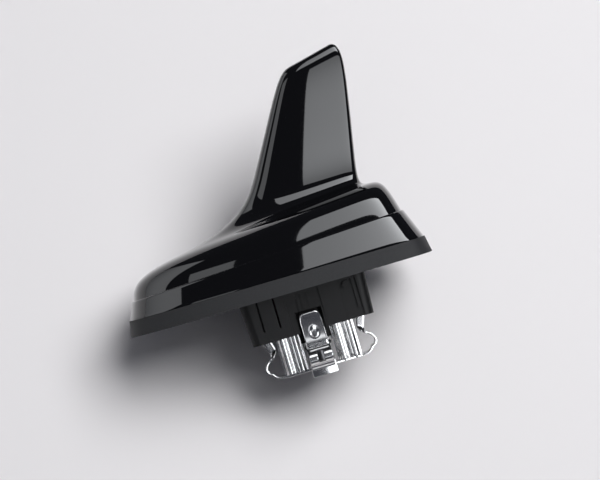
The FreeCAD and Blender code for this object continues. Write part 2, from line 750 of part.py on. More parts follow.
def make_spigot():
    """Moulded spigot through the roof hole: hollow, open below, slit and recessed for the spring legs."""
    low = -size("spigot_depth")
    top = size("gasket_floor")
    wall = size("spigot_wall")
    outer = shaped("spigot_outer", spigot_block(0.0, low, top))
    hollow = shaped("spigot_hollow", spigot_block(wall, low - 1, top - size("spigot_roof")))
    core = box(
        "spigot_core",
        ("-core_half_length", "core_half_length"),
        ("-core_half_width", "core_half_width"),
        ("-core_depth", "gasket_floor - spigot_roof / 2"),
    )
    columns = []
    for name, sx, sy in SPIGOT_CORNERS:
        columns.append(box(
            f"spigot_column_{name}",
            corner_span(sx, "spigot_half_length"),
            corner_span(sy, "spigot_half_width"),
            ("-spigot_depth + 1.5", "gasket_floor - spigot_roof / 2"),
        ))
    cuts = []
    for side, sy in (("left", "-1"), ("right", "1")):
        face = f"{sy} * spigot_half_width"
        for i, x in enumerate(("-slit_front_x", "-slit_rear_x")):
            cuts.append(box(
                f"slit_{side}_{i}", (f"{x} - slit_width / 2", f"{x} + slit_width / 2"),
                bay(face, sy, "spigot_wall + 1"), ("-slit_depth", "-0.2"),
            ))
        cuts.append(box(
            f"leg_bay_{side}", ("-leg_bay_front", "-leg_bay_rear"),
            bay(face, sy, "leg_bay_depth + 0.6"), ("-spigot_depth - 1", "-2.6"),
        ))
        cuts.append(box(
            f"leg_panel_{side}", ("-leg_bay_rear - 0.1", "leg_width / 2 + 1.2"),
            bay(face, sy, "leg_bay_depth"), ("-spigot_depth - 1", "-1"),
        ))
        cuts.append(box(
            f"leg_window_{side}", ("-(leg_width / 2 + 0.5)", "leg_width / 2 + 0.5"),
            bay(face, sy, "spigot_wall + 1.5"), ("-spigot_depth - 1", "-leg_top + 0.6"),
        ))
        cuts.append(box(
            f"rear_bay_{side}", ("rear_bay_front", "rear_bay_rear"),
            bay(face, sy, "rear_bay_depth"), ("-spigot_depth - 1", "-0.8"),
        ))
    for end, sx in (("front", "-1"), ("rear", "1")):
        face = f"{sx} * spigot_half_length"
        cuts.append(box(
            f"end_bay_{end}", bay(face, sx, "spigot_wall + 1.4"),
            ("-(leg_width / 2 + 0.6)", "leg_width / 2 + 0.6"), ("-spigot_depth - 1", "-1.2"),
        ))
    cuts += [
        box(
            f"socket_window_{i}",
            (f"{sx} * socket_x - socket_side / 2 - pin_gap", f"{sx} * socket_x + socket_side / 2 + pin_gap"),
            ("socket_y - socket_side / 2 - pin_gap", "socket_y + socket_side / 2 + pin_gap"),
            ("-1 - spigot_roof", "gasket_floor + 1"),
        )
        for i, sx in enumerate(("-1", "1"))
    ]
    foot = "-core_depth - 1"
    cuts.append(cylinder("insert_seat", "bolt_radius + insert_wall", foot, "-core_depth + insert_length"))
    cuts.append(cylinder("bolt_room", "bolt_radius + screw_gap", foot, "-core_depth + insert_length + 1"))
    cuts += [
        cylinder(f"spigot_pilot_{name}", "small_screw_radius", "-spigot_depth", "gasket_floor + 1", x, y)
        for name, x, y in SPIGOT_SCREWS
    ]
    ribs = []
    for side, sy in (("left", "-1"), ("right", "1")):
        face = f"{sy} * (spigot_half_width - leg_bay_depth)"
        for i, x in enumerate(("-0.9", "1.1")):
            ribs.append(box(
                f"guide_rib_{side}_{i}", (f"{x} - 0.35", f"{x} + 0.35"),
                bay(face, sy, "0.8", "0.5"), ("-leg_top + 1", "-1.2"),
            ))
        face = f"{sy} * (spigot_half_width - rear_bay_depth)"
        ribs.append(box(
            f"bay_rib_{side}", ("rear_bay_rear - 1.4", "rear_bay_rear - 0.5"),
            bay(face, sy, "0.8", "0.9"), ("-spigot_depth + 3", "-0.9"),
        ))
        stud = doc.addObject("Part::Cylinder", f"bay_stud_{side}")
        stud.Radius = 1.2
        stud.Height = 1.6
        stud.Placement.Rotation = FreeCAD.Rotation(Vector(1, 0, 0), 90)
        place(stud, "(rear_bay_front + rear_bay_rear) / 2 - 0.4", f"{face} + {sy} * 0.6 + 0.8", "-2.6")
        ribs.append(stud)
    shell = cut("spigot_shell", outer, [hollow])
    body = fuse("spigot_body", [shell, core, *columns])
    return fuse("roof_spigot", [cut("spigot_trimmed", body, cuts), *ribs])


def bay(face, sign, depth, proud="2"):
    """Low and high expressions of a recess that starts outside a face and goes in by a depth."""
    if sign == "-1":
        return (f"{face} - {proud}", f"{face} + {depth}")
    return (f"{face} - ({depth})", f"{face} + {proud}")


# Profile of a spring leg, as (reach short of the tip, depth) from its foot to its tip
LEG_PROFILE = (
    (5.0, 0.2), (2.4, -0.9), (1.0, -2.9), (1.7, -4.9), (3.6, -6.2), (3.4, -9.0), (1.8, -13.6), (0.0, -17.9)
)


ARM_LAP = 1.2


def leg_points(reach):
    foot = -size("clip_depth")
    drop = (size("clip_depth") - size("leg_top")) / -LEG_PROFILE[-1][1]
    return [(reach - short, foot - depth * drop) for short, depth in LEG_PROFILE]


def sheet_strip(points, gauge):
    """Face of a bent strip's edge in the XZ plane: a smooth line through points, one gauge thick."""
    curve = Part.BSplineCurve()
    curve.interpolate([Vector(x, 0, z) for x, z in points])
    inner, outer = [], []
    for x, z in points:
        t = curve.parameter(Vector(x, 0, z))
        tangent = curve.tangent(t)[0]
        inner.append(Vector(x, 0, z))
        outer.append(Vector(x, 0, z) + Vector(tangent.z, 0, -tangent.x) * gauge)
    sides = []
    for line in (inner, outer):
        side = Part.BSplineCurve()
        side.interpolate(line)
        sides.append(side.toShape())
    ends = [Part.LineSegment(inner[i], outer[i]).toShape() for i in (0, -1)]
    return Part.Face(Part.Wire(Part.__sortEdges__([*sides, *ends])))


def leg_solid(reach, hub_reach, angle):
    """One spring leg with its arm from the hub, turned about the middle."""
    gauge = size("clip_gauge")
    width = size("leg_width")
    points = leg_points(reach)
    strip = sheet_strip(points, gauge)
    strip.translate(Vector(0, -width / 2, 0))
    leg = strip.extrude(Vector(0, width, 0))
    foot = -size("clip_depth")
    arm_length = points[0][0] - hub_reach + ARM_LAP
    arm = Part.makeBox(arm_length, width, gauge, Vector(hub_reach, -width / 2, foot - 0.2 - gauge))
    leg = leg.fuse(arm)
    slot = size("leg_slot")
    opening = Part.makeBox(8.0, slot, 4.4, Vector(points[4][0] - 1, -slot / 2, foot + 1.4))
    leg = leg.cut(opening)
    leg.rotate(Vector(), Vector(0, 0, 1), angle)
    return leg


def side_flange(reach, angle):
    """The two turned-in edges and the pressed dimple of a side leg."""
    gauge = size("clip_gauge")
    half = size("leg_width") / 2
    points = leg_points(reach)[5:]
    depth = size("leg_edge")
    edge = [(x + gauge / 2, z) for x, z in points[:2]]
    edge.append((points[2][0] - gauge, points[2][1] - 4 * gauge))
    outline = edge + [(edge[-1][0] - depth, edge[-1][1] - depth), (edge[0][0] - depth / 2, edge[0][1])]
    wire = Part.makePolygon([Vector(x, 0, z) for x, z in outline + outline[:1]])
    flange = Part.Face(wire).extrude(Vector(0, gauge, 0))
    left = flange.copy()
    left.translate(Vector(0, -half, 0))
    right = flange.copy()
    right.translate(Vector(0, half - gauge, 0))
    x, z = points[1]
    dimple = Part.makeSphere(1.9, Vector(x - 1.0, 0, z + 0.4))
    whole = left.fuse([right, dimple])
    whole.rotate(Vector(), Vector(0, 0, 1), angle)
    return whole


def foot_plate(reach, angle):
    """The upright plate at the foot of a side leg, level with the bolt's head below."""
    gauge = size("clip_gauge")
    width = size("foot_plate_width")
    height = size("foot_plate_height")
    x = leg_points(reach)[0][0] + gauge / 2
    low = -size("clip_depth") - 0.2 - gauge - size("bolt_head_height")
    plate = Part.makeBox(gauge, width, height, Vector(x, -width / 2, low))
    corners = [e for e in plate.Edges if abs(e.tangentAt(e.FirstParameter).x) > 0.9]
    plate = plate.makeFillet(gauge * 1.5, corners)
    plate.rotate(Vector(), Vector(0, 0, 1), angle)
    return plate


def channel_wall(sx, sy):
    """A fluted upright wall of the clip beside its core."""
    gauge = size("clip_gauge")
    x0, x1 = size("wall_inner_x"), size("wall_outer_x")
    y = size("wall_y")
    flute = size("wall_flute")
    xs = [x0 + (x1 - x0) * i / 6 for i in range(7)]
    ys = [y + flute * (0.5 - 0.5 * math.cos(2 * math.pi * i / 3)) for i in range(7)]
    inner = [Vector(sx * a, sy * b, 0) for a, b in zip(xs, ys)]
    outer = [Vector(sx * a, sy * (b + gauge), 0) for a, b in zip(xs, ys)]
    sides = []
    for line in (inner, outer):
        curve = Part.BSplineCurve()
        curve.interpolate(line)
        sides.append(curve.toShape())
    ends = [Part.LineSegment(inner[i], outer[i]).toShape() for i in (0, -1)]
    face = Part.Face(Part.Wire(Part.__sortEdges__([*sides, *ends])))
    low = -size("clip_depth") - 0.2 - gauge
    face.translate(Vector(0, 0, low))
    return face.extrude(Vector(0, 0, -size("wall_top") - low))


def make_clip():
    """Spring clip pressed from one sheet: hub, four legs and fluted walls beside the core."""
    gauge = size("clip_gauge")
    low = -size("clip_depth") - 0.2 - gauge
    hub_half = size("wall_y") + size("wall_flute") + gauge
    hub_length = size("wall_outer_x")
    hub = Part.makeBox(2 * hub_length, 2 * hub_half, gauge, Vector(-hub_length, -hub_half, low))
    solids = []
    for angle in (0, 180):
        solids.append(leg_solid(size("leg_reach_x"), size("wall_inner_x"), angle))
        solids.append(side_flange(size("leg_reach_x"), angle))
    for angle in (90, 270):
        solids.append(leg_solid(size("leg_reach_y"), 0.0, angle))
        solids.append(side_flange(size("leg_reach_y"), angle))
        solids.append(foot_plate(size("leg_reach_y"), angle))
    for sx in (-1, 1):
        for sy in (-1, 1):
            solids.append(channel_wall(sx, sy))
    whole = hub.fuse(solids).removeSplitter()
    hole = Part.makeCylinder(size("bolt_radius") + size("screw_gap"), 4, Vector(0, 0, low - 2))
    return shaped("spring_clip", whole.cut(hole))


def make_bolt():
    """Hexagon bolt through the hub and the brass insert that it screws into."""
    seat = "-clip_depth - 0.2 - clip_gauge"
    shank = cylinder("bolt_shank", "bolt_radius", seat, "-core_depth + insert_length")
    head = hexagon("bolt_head", "bolt_head_flats", f"{seat} - bolt_head_height", seat)
    fuse("clip_bolt", [shank, head])
    low, high = "-core_depth", "-core_depth + insert_length"
    sleeve = cylinder("insert_sleeve", "bolt_radius + insert_wall", low, high)
    cut("threaded_insert", sleeve, [cylinder("insert_bore", "bolt_radius", f"{low} - 1", f"{high} + 1")])


def make_socket(name, sx):
    """Coaxial socket that hangs under the board into the spigot: housing, screen sleeve and contact."""
    x = f"{sx} * socket_x"
    half = "socket_side / 2"
    low = "-socket_depth"
    housing = box(
        f"{name}_block", (f"{x} - {half}", f"{x} + {half}"), (f"socket_y - {half}", f"socket_y + {half}"),
        (low, BOARD_LOW),
    )
    top = f"{BOARD_LOW} - 1"
    spot = (x, "socket_y")
    mouth_radius = "socket_side / 2 - socket_wall"
    mouth = cylinder(f"{name}_mouth", mouth_radius, f"{low} - 1", "gasket_floor - spigot_roof", *spot)
    bore = cylinder(f"{name}_bore", "shell_radius", f"{low} - 1", top, *spot)
    wire_way = cylinder(f"{name}_wire_way", "contact_radius", f"{top} - 1", f"{BOARD_LOW} + 1", *spot)
    cut(name, housing, [mouth, bore, wire_way])
    tube = cylinder(f"{name}_tube", "shell_radius", f"{low} + 2", top, *spot)
    inside = "shell_radius - shell_wall"
    tube_bore = cylinder(f"{name}_tube_bore", inside, f"{low} + 1", f"{top} - shell_wall", *spot)
    tube_hole = cylinder(f"{name}_tube_hole", "contact_radius + pin_gap", f"{low} + 1", BOARD_LOW, *spot)
    cut(f"{name}_shell", tube, [tube_bore, tube_hole])
    contact = cylinder(f"{name}_pin", "contact_radius", f"{low} + 3", f"{BOARD_TOP} + 0.3", x, "socket_y")
    contact.Label = f"{name}_pin"


NODES = (
    "fin_cover", "skirt_frame", "roof_gasket", "base_plate", "cover_seal", "main_board", "patch_antenna",
    "patch_pin", "shield_can", "fin_radiator", "foam_pad", "cover_screws", "board_screws", "spigot_screws",
    "roof_spigot", "spring_clip", "clip_bolt", "threaded_insert",
    "phone_socket", "phone_socket_shell", "phone_socket_pin",
    "navigation_socket", "navigation_socket_shell", "navigation_socket_pin",
)


def main():
    make_cover()
    make_skirt()
    make_gasket()
    make_plate()
    make_seal()
    make_board()
    make_patch()
    make_can()
    make_blade()
    make_screws()
    make_spigot()
    make_clip()
    make_bolt()
    make_socket("phone_socket", "-1")
    make_socket("navigation_socket", "1")
    doc.recompute()
    failed = [o.Name for o in doc.Objects if "Invalid" in o.State or "Error" in o.State]
    if failed:
        raise RuntimeError(f"these objects failed to build: {failed}")
    os.makedirs("parts", exist_ok=True)
    for name in NODES:
        found = doc.getObjectsByLabel(name)
        shape = found[0].Shape
        if shape.isNull() or not shape.isValid() or not shape.Solids:
            raise RuntimeError(f"{name} is not a valid solid")
        shape.exportStep(f"parts/{name}.step")
        print(name, len(shape.Solids), round(shape.Volume, 1))


main()
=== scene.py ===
"""Looks of the shark fin roof antenna.

The script models the painted cover and skirt and the pressed spring clip, gives every piece its
material, and sets up the camera, the table and the lights.
"""

import math

import bpy
from mathutils import Matrix, Vector


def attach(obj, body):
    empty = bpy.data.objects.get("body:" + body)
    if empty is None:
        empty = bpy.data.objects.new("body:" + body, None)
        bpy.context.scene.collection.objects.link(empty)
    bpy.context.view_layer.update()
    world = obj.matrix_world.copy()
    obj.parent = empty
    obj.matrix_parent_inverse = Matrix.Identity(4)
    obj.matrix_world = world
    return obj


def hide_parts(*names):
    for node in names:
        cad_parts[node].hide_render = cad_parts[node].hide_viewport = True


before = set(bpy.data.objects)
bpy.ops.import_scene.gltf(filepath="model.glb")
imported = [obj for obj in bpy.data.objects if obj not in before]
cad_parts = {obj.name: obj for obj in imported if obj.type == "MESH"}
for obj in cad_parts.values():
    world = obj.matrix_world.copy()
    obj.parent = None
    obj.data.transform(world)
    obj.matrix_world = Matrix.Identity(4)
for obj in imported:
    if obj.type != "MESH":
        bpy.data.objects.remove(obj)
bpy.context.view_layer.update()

MM = 0.001

# Meshing: spline degree, the last share of a spline's run, the distance in millimetres that is welded,
# and grids as (columns, rows)
DEGREE = 3
RUN_END = 1.0 - 1e-9
WELD = 0.01
COVER_GRID = (110, 90)
SKIRT_COLUMNS = 120
LEG_GRID = (40, 126)
WALL_GRID = (42, 6)
HOLE_SIDES = 48

# Folds sharper than these angles stay sharp in the shading, or are rounded where a sheet is cut
COVER_CREASE = math.radians(50)
SKIRT_CREASE = math.radians(60)
CLIP_CREASE = math.radians(40)
CUT_CREASE = math.radians(60)

# Poles of an outline from nose to tail: shares of its length, and of its half width at base and fin
ALONG = (0.0, 0.0, 0.085, 0.32, 0.62, 0.90, 0.99, 1.0, 1.0)
BASE_SPREAD = (0.0, 0.42, 0.74, 0.93, 1.02, 1.0, 0.93, 0.55, 0.0)
FIN_SPREAD = (0.0, 0.62, 0.95, 1.05, 1.0, 0.86, 0.76, 0.45, 0.0)

# Base, skirt and seam, in millimetres
NOSE, TAIL, HALF = -55.4, 41.9, 28.5
GASKET_TOP = 5.0
SKIRT_INSET = 1.1
SKIRT_WALL = 2.4
FLARE_NOSE, FLARE_TAIL, FLARE_SIDE = 2.2, 3.8, 3.6
SEAM_LOW, SEAM_HIGH = 10.4, 14.8
SEAM_STEP = 0.6
EDGE, NEAR_EDGE = 0.3, 0.8
LOW_CORNER, HIGH_CORNER = EDGE * 0.3, EDGE * 0.25
FLANK_SHARES = (0.05, 0.14, 0.5, 0.88, 0.955)

# The cover's wall and cage, in millimetres. Pairs up to the root are for nose and tail: BACK is in from
# the seam's ends, RISE up from them, NARROW in from its half width, and BLEND the share of the fin's plan
COVER_WALL = 2.2
SHOULDER_BACK, SHOULDER_RISE, SHOULDER_NARROW = (0.5, 0.9), (2.8, 3.5), 1.1
DECK_BACK, DECK_HEIGHT, DECK_NARROW = (2.9, 2.3), (17.0, 23.0), 2.8
RAMP_BACK, RAMP_HEIGHT, RAMP_HALF, RAMP_BLEND = (13.1, 4.6), (19.8, 25.6), 15.6, 0.2
ROOT_BACK, ROOT_REAR, ROOT_HEIGHT, ROOT_HALF, ROOT_BLEND = 27.6, 26.9, (21.9, 25.2), 9.6, 0.6

# The fin, in millimetres: levels as shares of its height, sweeps and taper from its foot to its top, and
# the ends of the brow and the crest over it as (x, z)
FIN_LEVELS = (0.0, 0.3, 0.67, 1.0)
FIN_LOW, FIN_HIGH, TOP_RISE = 28.6, 66.4, 2.07
FIN_FRONT, FRONT_SWEEP = -9.5, 21.7
FIN_REAR, REAR_SWEEP = 26.4, 7.0
FIN_HALF, FIN_TAPER = 5.9, 2.5
BROW_FRONT, BROW_REAR, BROW_SHARE = (15.0, 67.2), (31.0, 71.0), 0.47
CREST_FRONT, CREST_REAR = (16.0, 67.3), (29.0, 70.402)

# The clip's leg, in millimetres: its profile from foot to tip, as (short of its reach, above its foot)
LEG_PROFILE = (
    (5.0, -0.2), (3.3, 0.4), (2.5, 1.4), (1.5, 2.0), (1.0, 3.2),
    (1.9, 4.9), (3.6, 6.2), (3.4, 9.0), (1.8, 13.6), (0.0, 17.9),
)
CLIP_FOOT, CLIP_TIP = -24.8, -7.3
CLIP_GAUGE = 0.6
CLIP_RISE = (CLIP_TIP - CLIP_FOOT) / LEG_PROFILE[-1][1]

# The leg's strip, in millimetres: spans are heights, and the tip starts at a share of the strip's length
REACH_X, REACH_Y = 18.4, 14.9
ARM_LENGTH = 9.0
LEG_HALF = 3.6
LEG_BEND, LEG_EDGE = 0.6, 1.9
BEND_SPAN = (-19.5, -16.5)
LEAST_BEND = 1e-4
TIP_START, TIP_ROUND, TIP_EDGE = 0.94, 1.3, 0.5
HALFWAY = 0.5
DIMPLE_HEIGHT, DIMPLE_SIZE, DIMPLE_RISE = -13.6, (1.55, 2.2), 0.4
DIMPLE_FLANK = (0.45, 1.05)
SLOT_HALF, SLOT_SPAN, SLOT_REACH = 1.1, (-23.2, -19.4), 5.5
CUT_ROUNDING, CUT_SEGMENTS = 0.09, 2

# The clip's hub, fluted walls and foot plates, in millimetres
HUB_X, HUB_Y, HUB_DROP, HUB_ROUNDING = 12.4, 5.2, 0.2, 0.15
HUB_TOP = CLIP_FOOT - HUB_DROP
HUB_LOW = HUB_TOP - CLIP_GAUGE
BOLT_HOLE, DRILL_DEPTH = 2.2, 6 * CLIP_GAUGE
WALL_SPAN, WALL_Y, WALL_TOP = (4.9, 12.4), 3.7, -11.0
WALL_FLUTE, FLUTES, FLUTE_FLANK = 0.9, 2, 0.75
PLATE_HALF, PLATE_SPAN, PLATE_ROUNDING = 4.0, (-27.6, -23.6), 0.22
FLAT_SEGMENTS = 3


def outline(front, rear, half, fin_share=0.0):
    """Poles of the left side's outline, from (x, z) at the nose to (x, z) at the tail."""
    poles = []
    for along, base, fin in zip(ALONG, BASE_SPREAD, FIN_SPREAD):
        x = front[0] + (rear[0] - front[0]) * along
        z = front[1] + (rear[1] - front[1]) * along
        poles.append(Vector((x, -half * (base + (fin - base) * fin_share), z)))
    return poles


def base_row(inset, z):
    """The base's outline at a height, drawn in by an inset."""
    return outline((NOSE + inset, z), (TAIL - inset, z), HALF - inset)


def seam_height(x):
    """Height of the sloping seam between skirt and cover."""
    return SEAM_LOW + (SEAM_HIGH - SEAM_LOW) * (x - NOSE) / (TAIL - NOSE)


def seam_row(inset, drop=0.0):
    """The skirt's outline at the seam, drawn in by an inset and lowered by a drop."""
    nose = NOSE + SKIRT_INSET + FLARE_NOSE + inset
    tail = TAIL - SKIRT_INSET - FLARE_TAIL - inset
    half = HALF - SKIRT_INSET - FLARE_SIDE - inset
    return outline((nose, seam_height(nose) - drop), (tail, seam_height(tail) - drop), half)


def fin_row(level, inset):
    """A row of the fin's flank at a share of its height."""
    z = FIN_LOW + (FIN_HIGH - FIN_LOW) * level - inset * level
    rise = TOP_RISE if level == FIN_LEVELS[-1] else 0.0
    front = (FIN_FRONT + FRONT_SWEEP * level + inset, z)
    rear = (FIN_REAR + REAR_SWEEP * level - inset, z + rise)
    return outline(front, rear, FIN_HALF - FIN_TAPER * level - inset, fin_share=1.0)


def top_row(front, rear, half, inset):
    """A row over the fin's top between two ends, drawn in by an inset."""
    front = (front[0] + inset, front[1] - inset)
    rear = (rear[0] - inset, rear[1] - inset)
    return outline(front, rear, half, fin_share=1.0)


def cover_rows(inset):
    """Rows of poles over the cover, from the seam to the fin's crest, drawn in by an inset."""
    rim = seam_row(SEAM_STEP + inset)
    nose, tail = rim[0], rim[-1]
    half = HALF - SKIRT_INSET - FLARE_SIDE - SEAM_STEP - inset
    shoulder = outline(
        (nose.x + SHOULDER_BACK[0], nose.z + SHOULDER_RISE[0]),
        (tail.x - SHOULDER_BACK[1], tail.z + SHOULDER_RISE[1]),
        half - SHOULDER_NARROW,
    )
    deck = outline(
        (nose.x + DECK_BACK[0], DECK_HEIGHT[0] - inset),
        (tail.x - DECK_BACK[1], DECK_HEIGHT[1] - inset),
        half - DECK_NARROW,
    )
    ramp = outline(
        (nose.x + RAMP_BACK[0], RAMP_HEIGHT[0] - inset),
        (tail.x - RAMP_BACK[1], RAMP_HEIGHT[1] - inset),
        RAMP_HALF - inset,
        RAMP_BLEND,
    )
    root = outline(
        (nose.x + ROOT_BACK, ROOT_HEIGHT[0] - inset),
        (ROOT_REAR - inset, ROOT_HEIGHT[1] - inset),
        ROOT_HALF - inset,
        ROOT_BLEND,
    )
    fin = [fin_row(level, inset) for level in FIN_LEVELS]
    brow = top_row(BROW_FRONT, BROW_REAR, (FIN_HALF - FIN_TAPER - inset) * BROW_SHARE, inset)
    crest = top_row(CREST_FRONT, CREST_REAR, 0.0, inset)
    return [rim, shoulder, deck, ramp, root, *fin, brow, crest]


def weights(count, t):
    """Weights of the poles of an even clamped cubic spline at a share of its length."""
    spans = count - DEGREE
    knots = [0.0] * DEGREE + [i / spans for i in range(spans + 1)] + [1.0] * DEGREE
    t = min(max(t, 0.0), RUN_END)
    values = [1.0 if knots[i] <= t < knots[i + 1] else 0.0 for i in range(len(knots) - 1)]
    for d in range(1, DEGREE + 1):
        for i in range(len(values) - d):
            left = knots[i + d] - knots[i]
            right = knots[i + d + 1] - knots[i + 1]
            value = 0.0
            if left > 0:
                value += (t - knots[i]) / left * values[i]
            if right > 0:
                value += (knots[i + d + 1] - t) / right * values[i + 1]
            values[i] = value
    return values[:count]


def blend(shares, vectors):
    """Sum of vectors, each times its share."""
    total = Vector((0.0, 0.0, 0.0))
    for share, vector in zip(shares, vectors):
        total += vector * share
    return total


def laid_sheet(name, columns, rows, place):
    """A grid of quads with each vertex laid at place(row, column), in millimetres."""
    bpy.ops.object.select_all(action="DESELECT")
    bpy.ops.mesh.primitive_grid_add(x_subdivisions=columns, y_subdivisions=rows, size=1.0)
    obj = bpy.context.object
    obj.name = name
    for i, vertex in enumerate(obj.data.vertices):
        row, column = divmod(i, columns + 1)
        vertex.co = place(row, column) * MM
    return obj


def mirror_over(obj):
    """Copies the left side to the right and welds the two along the middle plane."""
    mirror = obj.modifiers.new("right_side", "MIRROR")
    mirror.use_axis = (False, True, False)
    mirror.use_mirror_merge = True
    mirror.merge_threshold = WELD * MM
    bpy.context.view_layer.objects.active = obj
    bpy.ops.object.modifier_apply(modifier=mirror.name)


def weld_and_face_out(obj):
    """Welds the vertices that lie together and points the faces outward."""
    bpy.ops.object.select_all(action="DESELECT")
    obj.select_set(True)
    bpy.context.view_layer.objects.active = obj
    bpy.ops.object.mode_set(mode="EDIT")
    bpy.ops.mesh.select_all(action="SELECT")
    bpy.ops.mesh.remove_doubles(threshold=WELD * MM)
    bpy.ops.mesh.normals_make_consistent(inside=False)
    bpy.ops.object.mode_set(mode="OBJECT")


def cover_skin(name, inset):
    """One skin of the cover, laid over its cage, both sides."""
    columns, rows = COVER_GRID
    cage = cover_rows(inset)
    across = [weights(len(ALONG), i / columns) for i in range(columns + 1)]
    up = [weights(len(cage), i / rows) for i in range(rows + 1)]
    rings = [[blend(share, row) for row in cage] for share in across]
    obj = laid_sheet(name, columns, rows, lambda row, column: blend(up[row], rings[column]))
    mirror_over(obj)
    weld_and_face_out(obj)
    return obj


def make_cover():
    """The painted shell of the fin and dome: an outer and an inner skin, joined around the rim."""
    outer = cover_skin("painted_cover", 0.0)
    inner = cover_skin("cover_lining", COVER_WALL)
    inner.data.flip_normals()
    outer.select_set(True)
    bpy.context.view_layer.objects.active = outer
    bpy.ops.object.join()
    bpy.ops.object.mode_set(mode="EDIT")
    bpy.ops.mesh.select_mode(type="EDGE")
    bpy.ops.mesh.select_all(action="DESELECT")
    bpy.ops.mesh.select_non_manifold()
    bpy.ops.mesh.bridge_edge_loops()
    bpy.ops.object.mode_set(mode="OBJECT")
    bpy.ops.object.shade_smooth_by_angle(angle=COVER_CREASE)
    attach(outer, "root")
    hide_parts("fin_cover")
    return outer


def skirt_section():
    """Rows of poles around the skirt's wall: along the foot, up the flank, over the seam and back."""
    start, end = base_row(SKIRT_INSET, GASKET_TOP), seam_row(0.0)
    flank = [[a + (b - a) * share for a, b in zip(start, end)] for share in FLANK_SHARES]
    return [
        base_row(SKIRT_INSET + SKIRT_WALL, GASKET_TOP),
        base_row(SKIRT_INSET + NEAR_EDGE, GASKET_TOP),
        base_row(SKIRT_INSET + EDGE, GASKET_TOP),
        base_row(SKIRT_INSET + LOW_CORNER, GASKET_TOP + LOW_CORNER),
        *flank,
        seam_row(HIGH_CORNER, HIGH_CORNER),
        seam_row(EDGE),
        seam_row(NEAR_EDGE),
        seam_row(SKIRT_WALL),
        base_row(SKIRT_INSET + SKIRT_WALL, GASKET_TOP),
    ]


def make_skirt():
    """The painted ring under the cover, with softly rounded edges."""
    section = skirt_section()
    columns, rows = SKIRT_COLUMNS, len(section) - 1
    across = [weights(len(ALONG), i / columns) for i in range(columns + 1)]
    obj = laid_sheet(
        "painted_skirt", columns, rows, lambda row, column: blend(across[column], section[row])
    )
    mirror_over(obj)
    weld_and_face_out(obj)
    bpy.ops.object.shade_smooth_by_angle(angle=SKIRT_CREASE)
    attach(obj, "root")
    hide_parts("skirt_frame")
    return obj


def through(points, share):
    """Place on a Catmull-Rom line through points, at a share of the way, and its direction there."""
    spans = len(points) - 1
    at = min(max(share, 0.0), RUN_END) * spans
    i = int(at)
    f = at - i
    p1, p2 = points[i], points[i + 1]
    p0 = points[i - 1] if i else p1 * 2 - p2
    p3 = points[i + 2] if i + 2 < len(points) else p2 * 2 - p1
    a, b, c = p2 - p0, p0 * 2 - p1 * 5 + p2 * 4 - p3, p1 * 3 - p0 - p2 * 3 + p3
    place = (p1 * 2 + a * f + b * f * f + c * f * f * f) * 0.5
    return place, (a + b * 2 * f + c * 3 * f * f).normalized()


def ease(value, low, high):
    """0 below low, 1 above high and a soft step between."""
    f = min(max((value - low) / (high - low), 0.0), 1.0)
    return f * f * (3 - 2 * f)


def dimple(y, z):
    """Height of the plain oval boss pressed into a leg's face."""
    across, along = y / DIMPLE_SIZE[0], (z - DIMPLE_HEIGHT) / DIMPLE_SIZE[1]
    return DIMPLE_RISE * (1 - ease(math.hypot(across, along), *DIMPLE_FLANK))


def thicken(obj, gauge):
    """Gives a laid sheet its thickness inward, and softens the cut edges."""
    wall = obj.modifiers.new("gauge", "SOLIDIFY")
    wall.thickness = gauge * MM
    wall.offset = -1.0
    bpy.ops.object.modifier_apply(modifier=wall.name)
    soft = obj.modifiers.new("cut_edges", "BEVEL")
    soft.width = CUT_ROUNDING * MM
    soft.segments = CUT_SEGMENTS
    soft.limit_method = "ANGLE"
    soft.angle_limit = CUT_CREASE
    bpy.ops.object.modifier_apply(modifier=soft.name)


def outward(obj, away):
    """Turns a sheet's faces to point away from the clip's middle, by a direction."""
    total = Vector((0.0, 0.0, 0.0))
    for face in obj.data.polygons:
        total += face.normal * face.area
    if total.dot(away) < 0:
        obj.data.flip_normals()


def cut_slot(obj, reach):
    """Removes the faces of a leg's slot from its sheet."""
    bpy.ops.object.mode_set(mode="EDIT")
    bpy.ops.mesh.select_mode(type="FACE")
    bpy.ops.mesh.select_all(action="DESELECT")
    bpy.ops.object.mode_set(mode="OBJECT")
    for face in obj.data.polygons:
        x, y, z = face.center / MM
        in_slot = abs(y) < SLOT_HALF and SLOT_SPAN[0] < z < SLOT_SPAN[1]
        face.select = in_slot and x > reach - SLOT_REACH
    bpy.ops.object.mode_set(mode="EDIT")
    bpy.ops.mesh.delete(type="FACE")
    bpy.ops.object.mode_set(mode="OBJECT")


